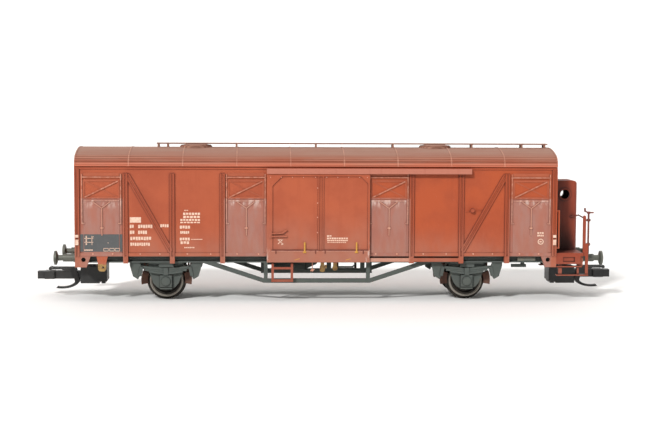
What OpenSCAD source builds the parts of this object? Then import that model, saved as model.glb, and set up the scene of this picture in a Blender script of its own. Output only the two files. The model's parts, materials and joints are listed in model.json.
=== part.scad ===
// Model railway covered goods wagon for 12 mm gauge track, built at its own size.
// +X points to the end with the brakeman's platform, Z = 0 is the bottom of the wheel flanges.
// X = 0 lies midway between the two coupler tips, and Y = 0 between the two sides.

/* [Body] */
// Length of the closed body
body_l = 106.1; // [104:0.1:110]
// Half width to the outer face of the side sheets
wall_y = 10.9; // [10.7:0.1:11.1]
// Thickness of the side and end walls
wall_t = 0.9; // [0.7:0.1:1.1]
// Bottom edge of the side walls
wall_z0 = 10.1; // [10:0.05:10.2]
// Height of the eaves
eave_z = 29.9; // [29.8:0.1:30.2]
// Rise of the roof above the eaves
roof_rise = 3.87; // [3.7:0.01:4.1]
// Half width of the roof
roof_w = 11.25; // [11.2:0.01:11.3]
// Shoulder radius of the roof
roof_r = 2.5; // [2.3:0.1:2.7]
// Thickness of the roof shell
roof_t = 0.8; // [0.6:0.1:1]
// Number of roof sheets along the body
roof_sheets = 9; // [7:1:11]
// How far the wall posts stand out from the sheets
post_proud = 0.3; // [0.2:0.05:0.3]
// Width of a wall post
post_w = 1.05; // [0.9:0.05:1.3]

/* [Doors] */
// Width of a sliding door
door_w = 22.6; // [22.3:0.1:23]
// Offset of the closed door from the middle of the body
door_x = 0.2; // [0.1:0.01:0.4]
// Lower edge of a door
door_z0 = 8.85; // [8.8:0.05:8.9]
// Upper edge of a door, behind its rail cover
door_z1 = 28.95; // [28.8:0.05:29]
// Thickness of a door at its frame
door_t = 0.55; // [0.45:0.05:0.55]
// Gap between the door and the wall posts
door_gap = 0.1; // [0.1:0.01:0.12]
// Width of the doorway in the wall
doorway_w = 20.4; // [19:0.1:20.8]

/* [Running gear] */
// Distance between the axles
wheelbase = 66.67; // [64:0.01:68]
// Diameter over the wheel flanges
flange_d = 8.85; // [8.7:0.05:8.9]
// Diameter of the wheel treads
tread_d = 7.5; // [7.3:0.1:7.6]
// Distance between the inner faces of the wheels
back_to_back = 10.2; // [10.1:0.1:10.3]
// Width of a wheel
wheel_w = 2.1; // [2:0.1:2.2]
// Diameter of an axle journal
journal_d = 0.9; // [0.8:0.1:1]
// Gap around a shaft that turns or swings
fit_gap = 0.06; // [0.04:0.01:0.08]

/* [Platform and ends] */
// Length of the brakeman's platform
platform_l = 6.1; // [5.9:0.1:6.3]
// Reach of the buffer faces beyond the headstocks
buffer_l = 5.1; // [5:0.1:5.3]
// Reach of the left coupler's tip beyond its headstock
coupler_l_left = 9.6; // [8:0.1:9.8]
// Reach of the right coupler's tip beyond its headstock
coupler_l_right = 8.2; // [8:0.1:9.8]
// Height of the buffer centres
buffer_z = 9.4; // [9.2:0.1:9.5]
// Sideways distance of the buffers from the middle
buffer_y = 7.3; // [7.1:0.1:7.4]
// Diameter of the buffer heads
buffer_d = 3.1; // [3:0.1:3.4]
// Width of the brakeman's booth
booth_w = 7.2; // [6.8:0.1:7.6]
// Height of the booth's roof
booth_z1 = 26.5; // [25.5:0.1:27]

/* [Hidden] */
$fn = 48;
eps = 0.01;
// middle of the body and of the wheelbase
body_x = (coupler_l_left - coupler_l_right - platform_l) / 2;
// outer faces of the left and the right headstock
head_x = [body_x - body_l / 2, body_x + body_l / 2 + platform_l];
axle_z = flange_d / 2;
door_y = wall_y + post_proud + door_gap;  // inner face of a door
door_face = door_y + door_t;              // outer face of a door's frame
cover_gap = 0.1;                          // gap between a door and the lip of its rail cover
cover_t = 0.2;
cover_face = door_face + cover_gap + cover_t;
cover_z = [eave_z - 1.6, eave_z - 0.45];  // lower and upper edge of the rail cover
cornice_z = [eave_z - 0.65, eave_z - 0.3];
cornice_proud = 0.15;
rail_z = [8.9, 9.7];                      // lower and upper edge of the lower door rail
rail_end = 33.1;                          // where both rails stop, from the middle of the body
post_x = [20.8, 31.8, 42];                // wall posts, to both sides of the middle
post_z0 = 8.55;                           // foot of the wall posts
hatch_x = [-47.2, -15.7, 15.7, 47.2];     // middles of the hatch bays
hatch_w = 8;                              // width of a hatch plate
panel_z = [22.8, 26.9];                   // upper hatch panel, with its cross brace
plate_z = [10.85, 22.5];                  // lower hatch plate
floor_z = [10.1, 10.9];
sole_z = [8.6, 10.1];                     // solebars
sole_y = [9.1, 10];
sill_y = [2.2, 3];                        // centre sills
bar_z = sole_z[0] + 0.3;                  // underside of the centre sills and cross members
head_t = 0.9;                             // thickness and foot of the headstocks
head_z0 = 7.9;
deck_z = 10.8;                            // top of the platform's deck
step_z = 8.35;                            // foot of the platform's side sills
guard_y = [8.2, 8.8];                     // axle guard plates
box_y = 9.9;                              // outer face of the axleboxes
tab_x = -47.15;                           // towing bracket, from the middle of the body
gear_z = 7.3;                             // middle height of the brake cylinder
loop_u = 1.2;                             // pivot of a coupler's loop, from the headstock
loop_z = 4.9;                             // height of the left loop's pivot
lift = [0, 0.35];                         // how much higher the left and the right bar ride
swing_u = -2.4;                           // pivot of a coupler, from the headstock

brown = "#9c4a36";
dark = "#3a4340";
black = "#222424";
steel = "#8f8f8c";
brass = "#b08a3c";
pale = "#d8c4b4";

// ---- places -------------------------------------------------------------------------------

module on_near() translate([body_x, 0, 0]) children();
module on_far() translate([body_x, 0, 0]) rotate([0, 0, 180]) children();
module on_both() { on_near() children(); on_far() children(); }
module at_axle(s) translate([body_x + s * wheelbase / 2, 0, 0]) children();
// Beyond a headstock, with +X pointing away from the wagon.
module at_end(s) translate([head_x[s < 0 ? 0 : 1], 0, 0]) mirror([s < 0 ? 1 : 0, 0, 0]) children();
// From the body's right end, along the platform.
module on_platform() translate([body_x + body_l / 2, 0, 0]) children();
module both_y() { children(); mirror([0, 1, 0]) children(); }

// ---- small shapes -------------------------------------------------------------------------

// A block given by its lowest and highest corner.
module block(a, b) translate(a) cube(b - a);

// A flat plate with its outline in X and Z, between two distances on the near side.
module side_plate(y0, y1) translate([0, -y0, 0]) rotate([90, 0, 0]) linear_extrude(y1 - y0) children();

// A straight strip of width w from point a to point b, as an outline.
module strip(a, b, w) {
    d = b - a;
    translate(a) rotate(atan2(d[1], d[0])) translate([0, -w / 2]) square([norm(d), w]);
}

// A round rod between two points.
module rod(a, b, d) {
    v = b - a;
    translate(a) rotate([0, acos(v[2] / norm(v)), atan2(v[1], v[0])]) cylinder(h = norm(v), d = d, $fn = 24);
}

// A rod through several points, with a ball at each bend.
module wire(points, d) {
    for (i = [1 : len(points) - 1]) rod(points[i - 1], points[i], d);
    for (i = [1 : len(points) - 2]) translate(points[i]) sphere(d = 1.08 * d, $fn = 24);
}

// A pressed channel on the side from a to b: a web with a rib along each side.
module channel(a, b, proud = post_proud) {
    rib = post_w * 0.3;
    side_plate(wall_y - wall_t / 2, wall_y + proud / 2) strip(a, b, post_w);
    side_plate(wall_y - wall_t / 2, wall_y + proud) difference() {
        strip(a, b, post_w);
        strip(a, b, post_w - 2 * rib);
    }
}

// ---- body ---------------------------------------------------------------------------------

// Half-oval roof section: a crown arc that two shoulder arcs bring upright at the eaves.
module roof_section(w, h, r) {
    crown = (w * w + h * h - 2 * w * r) / (2 * (h - r));
    a = atan2(w - r, crown - h);
    difference() {
        intersection() {
            translate([0, h - crown]) circle(r = crown, $fn = 240);
            translate([-w, 0]) square([2 * w, h + 1]);
        }
        // what lies outside the shoulder arcs
        for (s = [-1, 1]) translate([s * (w - r), 0]) difference() {
            polygon([[s * r / 2, -1], [s * 3 * r, -1], [s * 3 * r, 3 * r], [s * 3 * r * tan(a), 3 * r],
                     [s * r / 2 * sin(a), r / 2 * cos(a)]]);
            circle(r = r, $fn = 96);
        }
    }
}

module along_body(l, inset = 0)
    translate([body_x - l / 2, 0, eave_z - inset]) rotate([90, 0, 90]) linear_extrude(l) children();

module side_wall() {
    side_plate(wall_y - wall_t, wall_y) difference() {
        translate([-body_l / 2, wall_z0]) square([body_l, eave_z - wall_z0]);
        translate([-doorway_w / 2, floor_z[1]]) square([doorway_w, cover_z[0] - 0.8 - floor_z[1]]);
    }
    for (s = [-1, 1]) {
        for (x = post_x) channel([s * x, wall_z0], [s * x, cover_z[0]]);
        // the feet of the posts, in front of the solebar
        for (x = post_x)
            block([s * x - post_w / 2, -wall_y - post_proud, post_z0],
                  [s * x + post_w / 2, -sole_y[1], wall_z0]);
        // corner post
        channel([s * (body_l - post_w) / 2, wall_z0], [s * (body_l - post_w) / 2, cornice_z[0]]);
        // diagonal brace from the foot of the second post to the head of the third
        intersection() {
            channel([s * (post_x[1] + 0.1), wall_z0 + 0.7], [s * (post_x[2] - 0.1), cover_z[0] + 0.3], 0.25);
            block([s > 0 ? post_x[1] : 0.1 - post_x[2], -wall_y - 1, wall_z0 + 0.85],
                  [s > 0 ? post_x[2] - 0.1 : -post_x[1], -wall_y + wall_t, cover_z[0] - 0.1]);
        }
    }
    // cornice under the eaves and sill strip along the foot
    block([-body_l / 2, -wall_y - cornice_proud, cornice_z[0]], [body_l / 2, -wall_y + 0.2, cornice_z[1]]);
    for (s = [-1, 1])
        block([s < 0 ? -body_l / 2 : door_w / 2 + 1, -wall_y - 0.12, wall_z0],
              [s < 0 ? -door_w / 2 : body_l / 2, -wall_y + 0.2, wall_z0 + 0.75]);
}

module side_wall_near() color(brown) on_near() side_wall();
module side_wall_far() color(brown) on_far() side_wall();

// The same section as a row of points, for the gables that close the roof.
function gable(w, h, r) = let (
        crown = (w * w + h * h - 2 * w * r) / (2 * (h - r)),
        a = atan2(w - r, crown - h),
        half = concat(
            [for (t = [90 : -(90 - a) / 6 : a + 1]) [w - r + r * sin(t), r * cos(t)]],
            [for (t = [a : -a / 8 : a / 9]) [crown * sin(t), h - crown + crown * cos(t)]]))
    concat(half, [[0, h]], [for (i = [len(half) - 1 : -1 : 0]) [-half[i][0], half[i][1]]]);

module end_wall(s) {
    half = wall_y - wall_t;
    x0 = s < 0 ? -body_l / 2 : body_l / 2 - wall_t;
    translate([body_x, 0, 0]) {
        block([x0, -half, wall_z0], [x0 + wall_t, half, eave_z + 0.9]);
        translate([x0, 0, eave_z]) rotate([90, 0, 90]) linear_extrude(wall_t)
            polygon(gable(roof_w - roof_t - 0.02, roof_rise - roof_t - 0.02, roof_r - roof_t));
        // two upright posts beside the booth's place and a top rail on the outside
        for (y = [-4.3, 4.3])
            block([s < 0 ? x0 - post_proud : x0, y - post_w / 2, s < 0 ? wall_z0 : deck_z],
                  [s < 0 ? x0 + wall_t : x0 + wall_t + post_proud, y + post_w / 2, eave_z]);
        block([s < 0 ? x0 - 0.15 : x0, -half, eave_z - 0.9],
              [s < 0 ? x0 + wall_t : x0 + wall_t + 0.15, half, eave_z]);
    }
}

module end_wall_left() color(brown) end_wall(-1);
module end_wall_right() color(brown) end_wall(1);

// Upright seams between the roof's sheets, rooted in them, and a rib along each shoulder.
module roof_seams() {
    seam = 0.07;      // height of a seam
    seam_w = 0.35;
    root = 0.3;       // how deep a seam is rooted in the sheets
    rib_a = 28;       // place of the rib on the shoulder arc
    pitch = body_l / roof_sheets;
    for (i = [0 : roof_sheets]) {
        x = i == 0 ? 0 : i == roof_sheets ? -seam_w : -seam_w / 2;
        translate([body_x + i * pitch - body_l / 2 + x, 0, eave_z]) rotate([90, 0, 90]) linear_extrude(seam_w)
            difference() {
                roof_section(roof_w + seam, roof_rise + seam, roof_r + seam);
                translate([0, -eps]) roof_section(roof_w - root, roof_rise - root, roof_r - root);
            }
    }
    for (s = [-1, 1]) along_body(body_l)
        translate([s * (roof_w - roof_r + roof_r * cos(rib_a)), roof_r * sin(rib_a)])
            circle(d = 0.26, $fn = 24);
}

// What the fittings on the roof stand against: its outer form, filled.
module roof_form() {
    along_body(body_l) roof_section(roof_w, roof_rise, roof_r);
    roof_seams();
}

module roof() color("#8f6f60") {
    along_body(body_l) difference() {
        roof_section(roof_w, roof_rise, roof_r);
        translate([0, -eps]) roof_section(roof_w - roof_t, roof_rise - roof_t, roof_r - roof_t);
    }
    roof_seams();
    // drip rail along the eaves
    for (s = [-1, 1]) translate([body_x, s * (roof_w - 0.15), eave_z + 0.15])
        cube([body_l, 0.5, 0.3], center = true);
}

// Three planks on bearers and short posts, above the roof domes.
module roof_walkway() color("#6d5f58") difference() {
    z = eave_z + roof_rise;
    ends = [-35.8, 52.6];
    translate([body_x, 0, 0]) {
        for (y = [-0.8, 0, 0.8]) block([ends[0], y - 0.34, z + 0.66], [ends[1], y + 0.34, z + 0.92]);
        for (x = [-35.4, -33.3, -17.9, 0, 17.4, 35.3, 46.7, 51.9]) {
            block([x - 0.2, -1.2, z + 0.5], [x + 0.2, 1.2, z + 0.67]);
            for (y = [-1, 1]) block([x - 0.2, y - 0.2, z - 0.1], [x + 0.2, y + 0.2, z + 0.6]);
        }
    }
    roof_form();
}

// Two low round domes with a chamfered top.
module roof_hatches() color("#93604f") difference() {
    for (x = [-27, 27]) translate([body_x + x, 0, eave_z + roof_rise - 0.35]) {
        cylinder(h = 0.8, d = 6.8);
        cylinder(h = 0.6, d = 7.2);
        translate([0, 0, 0.8 - eps]) cylinder(h = 0.18, d1 = 6.2, d2 = 4.6);
    }
    roof_form();
}

module floor() color(dark) translate([body_x, 0, 0]) {
    half = wall_y - wall_t;
    inner = body_l / 2 - wall_t;
    block([-inner, -half, floor_z[0]], [inner, half, floor_z[1]]);
}

module ballast_plate() color(steel) translate([body_x, 0, 0])
    block([-32, -8, floor_z[1]], [32, 8, floor_z[1] + 1.2]);

// ---- hatches on the sides -----------------------------------------------------------------

module hatches() for (x = hatch_x) translate([x, 0, 0]) {
    w = hatch_w / 2;
    head_z = 27.35;
    // head plate with a ledge along its foot
    side_plate(wall_y, wall_y + 0.12) translate([-w, head_z + 0.15]) square([2 * w, 0.9]);
    side_plate(wall_y, wall_y + 0.3) translate([-w - 0.4, head_z]) square([2 * w + 0.8, 0.25]);
    // frame of the upper panel
    side_plate(wall_y, wall_y + 0.14) difference() {
        translate([-w, panel_z[0]]) square([2 * w, panel_z[1] - panel_z[0]]);
        translate([-w + 0.4, panel_z[0] + 0.4]) square([2 * w - 0.8, panel_z[1] - panel_z[0] - 0.8]);
    }
    // cross brace, with the rising bar in front
    side_plate(wall_y, wall_y + 0.1) strip([-w + 0.4, panel_z[1] - 0.3], [w - 0.4, panel_z[0] + 0.3], 0.24);
    side_plate(wall_y, wall_y + 0.24) strip([-w + 0.4, panel_z[0] + 0.3], [w - 0.4, panel_z[1] - 0.3], 0.28);
    // sliding plate below, thicker along its upper edge
    side_plate(wall_y, wall_y + 0.1) translate([-w + 0.1, plate_z[0]])
        square([2 * w - 0.2, plate_z[1] - plate_z[0]]);
    side_plate(wall_y, wall_y + 0.19) translate([-w + 0.1, plate_z[1] - 0.35]) square([2 * w - 0.2, 0.35]);
    // guide rails with a foot turned inwards
    for (s = [-1, 1]) {
        side_plate(wall_y, wall_y + 0.26) translate([s * (w + 0.22) - 0.13, 17.2]) square([0.26, 11]);
        side_plate(wall_y + 0.12, wall_y + 0.26) translate([s * (w - 0.05) - 0.3, 17.2]) square([0.6, 0.3]);
    }
}

module hatches_near() color("#99564a") on_near() hatches();
module hatches_far() color("#99564a") on_far() hatches();

// Forked lever that moves a hatch plate, with a small grip on its stem.
module hatch_levers() for (x = hatch_x) translate([x, 0, 0]) {
    fork = [0.1, 20.7];
    w = 0.22;
    side_plate(wall_y + 0.1, wall_y + 0.28) {
        strip([-1.9, 22.1], fork, w);
        strip([1.9, 22.1], fork, w);
        strip(fork + [0, 0.1], [0.1, 14.7], w);
        translate([-0.3, 16.2]) square([0.8, 0.3]);
    }
}

module hatch_levers_near() color(brown) on_near() hatch_levers();
module hatch_levers_far() color(brown) on_far() hatch_levers();

// ---- doors --------------------------------------------------------------------------------

module door_rails() {
    x0 = door_x - door_w / 2;
    lip = cover_face - cover_t;
    // cover over the door's head, with a lip in front
    in = -wall_y - cornice_proud;
    block([x0, -cover_face, cover_z[1] - cover_t], [rail_end + 0.8, in, cover_z[1]]);
    block([x0, -cover_face, cover_z[0]], [rail_end + 0.8, -lip, cover_z[1]]);
    block([rail_end + 0.6, -cover_face, cover_z[0]], [rail_end + 0.8, in, cover_z[1]]);
    // lower rail, which stands off the solebar between the posts' feet
    stops = [x0, post_x[0] - post_w / 2, post_x[0] + post_w / 2, post_x[1] - post_w / 2];
    block([x0, -wall_y - post_proud, rail_z[0]], [stops[1], -sole_y[1], rail_z[1]]);
    block([stops[2], -wall_y - post_proud, rail_z[0]], [stops[3], -sole_y[1], rail_z[1]]);
}

module door_rails_near() color(brown) on_near() door_rails();
module door_rails_far() color(brown) on_far() door_rails();

module sliding_door() translate([door_x, 0, 0]) {
    w = door_w / 2;
    face = door_face - 0.2;                  // outer face of the sheet
    band_z = 11.4;
    mid = 0.55;                              // middle channel
    side_plate(door_y, face) translate([-w, door_z0]) square([door_w, door_z1 - door_z0]);
    side_plate(face - eps, door_face) difference() {
        translate([-w, door_z0]) square([door_w, door_z1 - door_z0]);
        translate([-w + 1.25, band_z]) square([mid + w - 1.25 - 0.6, 27.75 - band_z]);
        translate([mid - 0.35, band_z]) square([0.7, 27.75 - band_z]);
        translate([mid + 0.6, band_z]) square([w - mid - 1, 27.75 - band_z]);
    }
    // corner plates at the head
    side_plate(face - eps, door_face) {
        polygon([[-w + 1.2, 27.8], [-w + 1.2, 25.6], [-w + 3.4, 27.8]]);
        polygon([[w - 0.4, 27.8], [w - 0.4, 26.2], [w - 2, 27.8]]);
    }
}

module sliding_door_near() color("#a65440") on_near() sliding_door();
module sliding_door_far() color("#a65440") on_far() sliding_door();

// Forked lever across the leading stile, on its pivot plate.
module door_lock() translate([door_x, 0, 0]) {
    w = door_w / 2;
    side_plate(door_face, door_face + 0.25) {
        strip([-w + 0.9, 14.6], [-w + 4.4, 14.6], 0.3);
        strip([-w + 0.9, 15.2], [-w + 3.4, 15.3], 0.26);
        strip([-w + 3.4, 15.3], [-w + 4.5, 16.1], 0.26);
    }
    side_plate(door_face, door_face + 0.2) translate([-w + 0.5, 14.2]) square([0.6, 1.6]);
}

module door_lock_near() color(brown) on_near() door_lock();
module door_lock_far() color(brown) on_far() door_lock();

// Two upright handles above the lower band, each on a small foot.
module door_handles() translate([door_x, 0, 0]) for (x = [-3, 8.4]) {
    side_plate(door_face, door_face + 0.25) translate([x - 0.16, 11]) square([0.32, 2.3]);
    side_plate(door_face, door_face + 0.15) translate([x - 0.35, 10.9]) square([0.7, 0.4]);
}

module door_handles_near() color("#d8a83c") on_near() door_handles();
module door_handles_far() color("#d8a83c") on_far() door_handles();

module vent_valves() color(brown) on_both() {
    x = 34.2;
    z = 20.25;
    translate([x, -wall_y, z]) rotate([90, 0, 0]) cylinder(h = 0.35, d = 1.15);
    translate([x, -wall_y, z]) rotate([90, 0, 0]) cylinder(h = 0.75, d = 0.85);
    side_plate(wall_y, wall_y + 0.18) {
        strip([x - 1.4, z - 0.25], [x, z - 0.1], 0.2);
        strip([x, z], [x + 2.2, z + 0.12], 0.16);
    }
}

// ---- underframe ---------------------------------------------------------------------------

// Channel-shaped solebars, with their two flanges towards the outside.
module solebars() color(dark) both_y() {
    x = [head_x[0] + head_t, body_x + body_l / 2];
    block([x[0], sole_y[0], sole_z[0]], [x[1], sole_y[0] + 0.4, sole_z[1]]);
    for (z = [sole_z[0], sole_z[1] - 0.3]) block([x[0], sole_y[0], z], [x[1], sole_y[1], z + 0.3]);
}

module center_sills() color(dark) both_y()
    block([head_x[0] + head_t, sill_y[0], bar_z], [head_x[1] - head_t, sill_y[1], sole_z[1]]);

// Bars between the solebars, each in three lengths that the centre sills part.
module cross_members() color(dark) for (x = [-46, -38.5, -28, -12, 12, 28, 38.5, 46])
    translate([body_x + x, 0, 0]) {
        block([-0.5, -sill_y[0], bar_z], [0.5, sill_y[0], sole_z[1]]);
        both_y() block([-0.5, sill_y[1], bar_z], [0.5, sole_y[0], sole_z[1]]);
    }

module headstocks() color(brown) {
    block([head_x[0], -sole_y[1] - 0.1, head_z0], [head_x[0] + head_t, sole_y[1] + 0.1, wall_z0]);
    block([head_x[1] - head_t, -wall_y + 0.6, head_z0], [head_x[1], wall_y - 0.6, wall_z0]);
}

module corner_brackets() color(brown) on_both() for (s = [-1, 1]) {
    e = body_l / 2;
    mirror([s > 0 ? 0 : 1, 0, 0]) side_plate(sole_y[1] + 0.1, wall_y) difference() {
        polygon([[e, wall_z0], [e, 7.65], [e - 2.5, 7.65], [e - 3.4, wall_z0]]);
        translate([e - 1.85, 9.32]) circle(d = 1);
    }
}

// Plates with a waist and a rounded foot, pierced for a rope.
module towing_brackets() color(brass) on_both() side_plate(sole_y[1] + 0.1, wall_y) difference() {
    translate([tab_x, 0]) polygon([[-1.23, wall_z0], [-0.92, 8.7], [-0.88, 7.15], [-0.5, 6.75],
                                   [0.5, 6.75], [0.88, 7.15], [0.92, 8.7], [1.23, wall_z0]]);
    translate([tab_x + 0.2, 7.65]) circle(d = 0.5, $fn = 24);
}

// Outline of an axle guard: straight horns that run into a round foot below the axle.
function guard_outline() = let (r = 3.25, z = 5.6) concat(
    [[-3.95, 8.6], [-3.7, 6.45]],
    [for (a = [190 : 20 : 350]) [r * cos(a), z + r * sin(a)]],
    [[3.7, 6.45], [3.95, 8.6]]);

module axle_guards(s) color(dark) at_axle(s) for (m = [0, 1]) mirror([0, m, 0]) difference() {
    union() {
        side_plate(guard_y[0], guard_y[1]) polygon(guard_outline());
        // flange under the solebar, and the stop above the spring
        side_plate(guard_y[1] - eps, sole_y[1] - 0.3) translate([-3.6, 8.3]) square([7.2, 0.3]);
        side_plate(guard_y[1] - eps, sole_y[1] - 0.5) translate([-1.5, 7.5]) square([3.2, 0.9]);
        // axlebox with a round cover and a lip at its foot
        side_plate(guard_y[1] - eps, box_y - 0.3) translate([-1.3, axle_z - 1.35]) square([2.6, 2.65]);
        side_plate(guard_y[1] - eps, box_y) translate([0, axle_z]) circle(d = 1.9);
        side_plate(guard_y[1] - eps, box_y - 0.1) translate([-1.35, axle_z - 1.75]) square([2.7, 0.3]);
    }
    translate([0, -box_y + 0.6, axle_z]) rotate([-90, 0, 0])
        cylinder(h = box_y, d = journal_d + 2 * fit_gap, $fn = 36);
}

module axle_guards_left() axle_guards(-1);
module axle_guards_right() axle_guards(1);

module leaf_springs(s) color(dark) at_axle(s) for (m = [0, 1]) mirror([0, m, 0]) {
    // three cambered leaves, shorter and further out towards the axlebox, held by a buckle
    back = guard_y[1] + 0.05;
    leaves = [[5.35, 7.85, 7.2, 7.25, 6.75], [4.6, 7.2, 6.75, 6.75, 6.3], [3.7, 6.8, 6.4, 6.3, 5.85]];
    for (i = [0 : 2]) let (l = leaves[i]) side_plate(back, box_y - 0.35 + 0.07 * i)
        polygon([[-l[0], l[1]], [0, l[3]], [l[0], l[1]], [l[0], l[2]], [0, l[4]], [-l[0], l[2]]]);
    side_plate(back, box_y - 0.1) translate([-0.5, 5.78]) square([1, 1.6]);
    // spring brackets under the solebar, with their links
    for (e = [-1, 1]) {
        side_plate(back, box_y - 0.3) polygon([
            for (p = [[7.9, 8.6], [7.9, 7.9], [7.2, 5.5], [6.1, 4.85], [5.1, 6.6], [5.45, 7.9], [5.75, 8.6]])
                [e * p[0], p[1]]]);
        side_plate(back, box_y - 0.12) strip([e * 5.3, 7.65], [e * 5.75, 5.6], 0.7);
    }
}

module leaf_springs_left() leaf_springs(-1);
module leaf_springs_right() leaf_springs(1);

module brake_shoes(s) color("#6e4a40") at_axle(s) for (m = [0, 1]) mirror([0, m, 0]) for (e = [-1, 1])
    mirror([e > 0 ? 0 : 1, 0, 0]) {
        y = back_to_back / 2;
        r = tread_d / 2;
        // shoe that curves round the tread, its hanger and the beam behind it
        side_plate(y + 0.85, y + wheel_w - 0.1) intersection() {
            difference() {
                translate([0, axle_z]) circle(r = r + 1.85);
                translate([0, axle_z]) circle(r = r + 0.35);
            }
            translate([0, axle_z]) polygon([[0, 0], [6.5, -1.2], [6.5, 2.5]]);
        }
        side_plate(y + 1, y + 1.5) polygon([[4.5, axle_z], [5, axle_z], [5.1, bar_z], [4.7, bar_z]]);
        block([4.5, -y - 1, axle_z - 0.3], [5, 0, axle_z + 0.3]);
    }

module brake_shoes_left() brake_shoes(-1);
module brake_shoes_right() brake_shoes(1);

// Truss below a solebar: a low beam on two posts, with a sloping tie to each side.
module truss() {
    post = [10.9, 11.75];
    low = [4.1, 5.05];
    inner = [-22.4, 22.4];
    side_plate(sole_y[1] - 0.7, sole_y[1]) difference() {
        polygon([[-25.4, 8.6], [-post[1], low[0]], [post[1], low[0]], [25.4, 8.6]]);
        polygon([[inner[0], 8.6], [-post[1], low[1]], [-post[1], 9]]);
        polygon([[inner[1], 8.6], [post[1], low[1]], [post[1], 9]]);
        translate([-post[0], low[1]]) square([2 * post[0], 4]);
    }
}

module truss_near() color(dark) on_near() truss();
module truss_far() color(dark) on_far() truss();

// Step below a door: two uprights tied back to the solebar, with two treads.
module door_step() translate([-7.7, 0, 0]) {
    w = 2.4;
    bar = 0.55;
    side_plate(wall_y - 0.1, wall_y + 0.4) difference() {
        translate([-w, 4.45]) square([2 * w, 4.15]);
        translate([-w + bar, 5.05]) square([2 * (w - bar), 2.2]);
        translate([-w + bar, 7.75]) square([2 * (w - bar), 1]);
    }
    for (x = [-w, w - bar]) block([x, -wall_y, 8.2], [x + bar, -sole_y[0], sole_z[0]]);
    for (z = [4.45, 7.25]) block([-w, -wall_y - 0.4, z], [w, -wall_y + 0.6, z + 0.25]);
}

module door_steps() color(brown) on_both() door_step();

module brake_rigging() color(dark) translate([body_x, 0, 0]) {
    rod_z = 7.8;
    // brake cylinder on its saddle, with a plate beside its push rod
    translate([-9.6, -3.6, gear_z]) rotate([0, 90, 0]) cylinder(h = 7.1, d = 3);
    for (x = [-8.4, -4.6]) block([x, -4.1, gear_z], [x + 0.8, -3.1, sole_z[1]]);
    side_plate(3.8, 4.1) polygon([[-2.6, 6.4], [0.1, 7.6], [0.1, 8.6], [-2.6, 8.6]]);
    translate([-2.6, -3.6, rod_z + 0.2]) rotate([0, 90, 0]) cylinder(h = 2, d = 0.5, $fn = 24);
    block([-11.3, -4.4, 7.5], [-9.6 + eps, -2.8, 8.4]);
    // air reservoir on its saddles
    translate([-9.6, 4.2, gear_z]) rotate([0, 90, 0]) cylinder(h = 7.4, d = 3.2);
    for (x = [-8.4, -4.2]) block([x, 3.7, gear_z], [x + 0.8, 4.7, sole_z[1]]);
    // long pull rods and the main lever
    block([-27.9, -1.9, rod_z], [-0.6, -1.5, rod_z + 0.4]);
    block([0.1, -1.9, rod_z], [27.9, -1.5, rod_z + 0.4]);
    block([-0.7, -4, rod_z - 0.1], [0.2, 4.4, rod_z + 0.5]);
    // longitudinal stiffener with its end lugs
    block([-12.4, -6.3, 5.85], [12.4, -5.9, 6.55]);
    for (x = [-12.4, 11.4]) block([x, -6.4, 5.85], [x + 1, -5.8, bar_z]);
    for (x = [2.3, 9.8]) block([x, -6.3, 6.5], [x + 1, -5.9, 8.4]);
    // air pipe that bends up behind the door
    wire([[4.8, -7.6, 7.4], [8, -7.6, 7.4], [8.5, -7.6, 7.8], [8.5, -7.6, sole_z[1] - 0.5]], 0.32);
    block([8.1, -sole_y[0], 9.2], [8.9, -7.2, sole_z[1]]);
    // load changer behind the right wheel
    block([43.5, -8.5, 7.4], [46.8, -7.6, 8.05]);
    block([45.6, -8.4, 8], [46.4, -7.8, bar_z]);
}

// Two valves hung from the solebar.
module brake_valves() color(brass) translate([body_x, 0, 0]) {
    for (v = [[1.25, 1.2, 6.95], [4.05, 1.1, 7.2]]) {
        translate([v[0], -7.6, v[2]]) rotate([90, 0, 0]) cylinder(h = 1.1, d = v[1]);
        block([v[0] - 0.4, -8.6, v[2]], [v[0] + 0.4, -7.9, sole_z[0] + 0.3]);
        block([v[0] - 0.4, -sole_y[0], sole_z[0]], [v[0] + 0.4, -7.9, sole_z[0] + 0.4]);
    }
    // square body of the larger valve, with its side union
    block([0.7, -8.6, 6.5], [1.8, -7.8, 7.7]);
    block([1.75, -8.4, 7.2], [2.2, -8, 7.9]);
}

// ---- ends ---------------------------------------------------------------------------------

// Turned outline of one buffer: sleeve with a foot ring, plunger, thick head with a domed face.
module buffer() rotate([0, 90, 0]) rotate_extrude() polygon([
    [0, 0], [1.25, 0], [1.25, 0.35], [0.95, 0.35], [0.95, 0.7], [0.85, 0.8], [0.85, 3], [0.62, 3],
    [0.62, buffer_l - 1], [0.95, buffer_l - 0.88], [buffer_d / 2, buffer_l - 0.68],
    [buffer_d / 2, buffer_l - 0.2], [buffer_d / 3, buffer_l - 0.05], [0, buffer_l]]);

module buffers(s) color("#565c58") at_end(s) both_y() translate([0, buffer_y, buffer_z]) buffer();
module buffers_left() buffers(-1);
module buffers_right() buffers(1);

// Box that holds the coupler's tongue on a vertical pin, hung from the centre sills.
module coupler_pocket(s) color(black) at_end(s) {
    difference() {
        block([-4.4, -2.6, 3.1], [-0.2, 2.6, 6.9]);
        block([-3.8, -1.9, 3.7], [0, 1.9, 6.5]);
    }
    translate([swing_u, 0, 3.5]) cylinder(h = 3.2, d = 1, $fn = 36);
    difference() {
        block([-6.1, -2.6, 3.1], [-4.4 + eps, 2.6, bar_z]);
        block([-4.85, -3, 2.9], [-4.4 + 2 * eps, 3, 3.5]);
        block([-6.2, -3, 2.9], [-5.7, 3, 3.6]);
    }
}

module coupler_pocket_left() coupler_pocket(-1);
module coupler_pocket_right() coupler_pocket(1);

module at_coupler(s) at_end(s) translate([0, 0, lift[s < 0 ? 0 : 1]]) children();

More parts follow.
